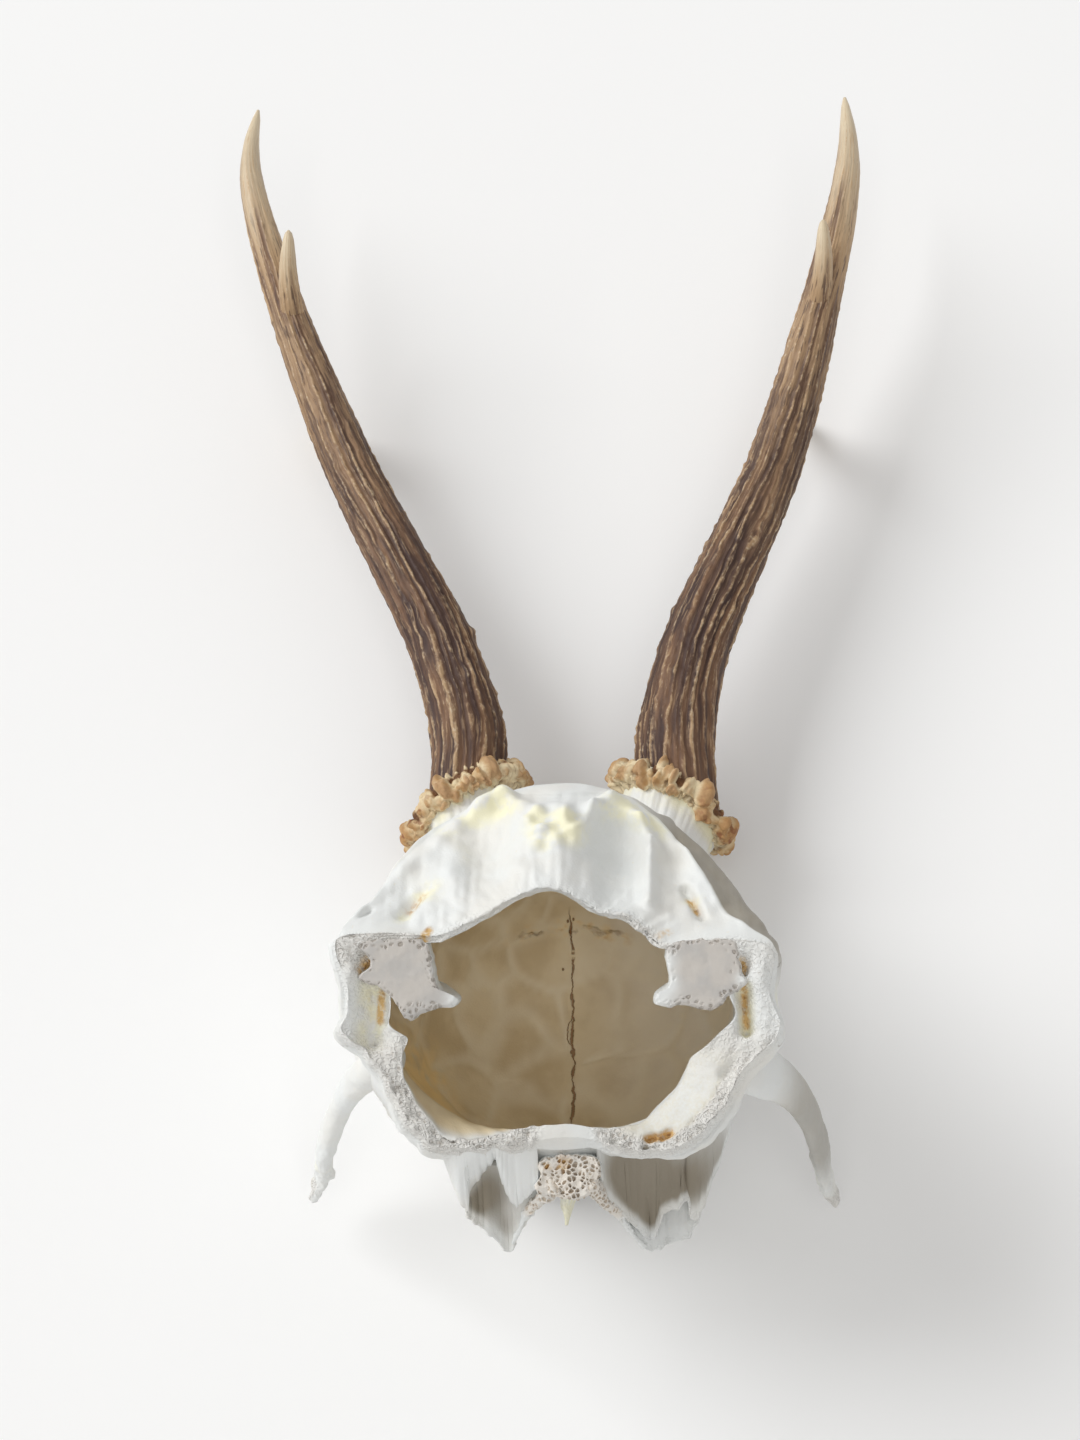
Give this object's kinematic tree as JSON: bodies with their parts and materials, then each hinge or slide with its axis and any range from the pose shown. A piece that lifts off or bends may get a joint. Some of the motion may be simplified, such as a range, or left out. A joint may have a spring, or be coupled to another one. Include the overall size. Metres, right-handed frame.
{
  "type": "roe deer skull",
  "caption": "Roebuck's skull sawn open at the back of the braincase and lying on its brow, with broken cheek arches, burrs and branched antlers.",
  "frame": {"origin": "centre of the rectangle that the skull covers on the table, at table level", "axes": "+X the animal's right, +Y from the braincase towards the antler tips, +Z out of the back of the head, which faces up"},
  "size_m": [0.1246, 0.2424, 0.0762],
  "materials": {
    "bone": "bleached bone, matt with a faint sheen, cream and orange stains",
    "sawn_bone": "sawn spongy bone, greyish pink, rough",
    "burr": "golden tan knobs with dark crevices",
    "antler": "dark brown antler with fine tan ridges",
    "tine_tip": "light tan to ivory antler, worn smooth"
  },
  "bodies": {
    "root": {"occipital": "bone", "parietal": "bone", "frontal_left": "bone", "frontal_right": "bone", "temporal_left": "bone", "temporal_right": "bone", "sphenoid": "bone", "basisphenoid": "sawn_bone", "vomer": "bone", "petrosal_left": "sawn_bone", "petrosal_right": "sawn_bone", "pterygoid_left": "bone", "pterygoid_right": "bone", "zygomatic_arch_left": "bone", "zygomatic_arch_right": "bone", "pedicle_left": "bone", "pedicle_right": "bone", "burr_left": "burr", "burr_right": "burr", "beam_left": "antler", "beam_right": "antler", "upper_beam_left": "antler", "upper_beam_right": "antler", "top_tine_left": "tine_tip", "top_tine_right": "tine_tip", "front_tine_left": "tine_tip", "front_tine_right": "tine_tip", "rear_tine_left": "tine_tip", "rear_tine_right": "tine_tip"}
  },
  "joints": []
}
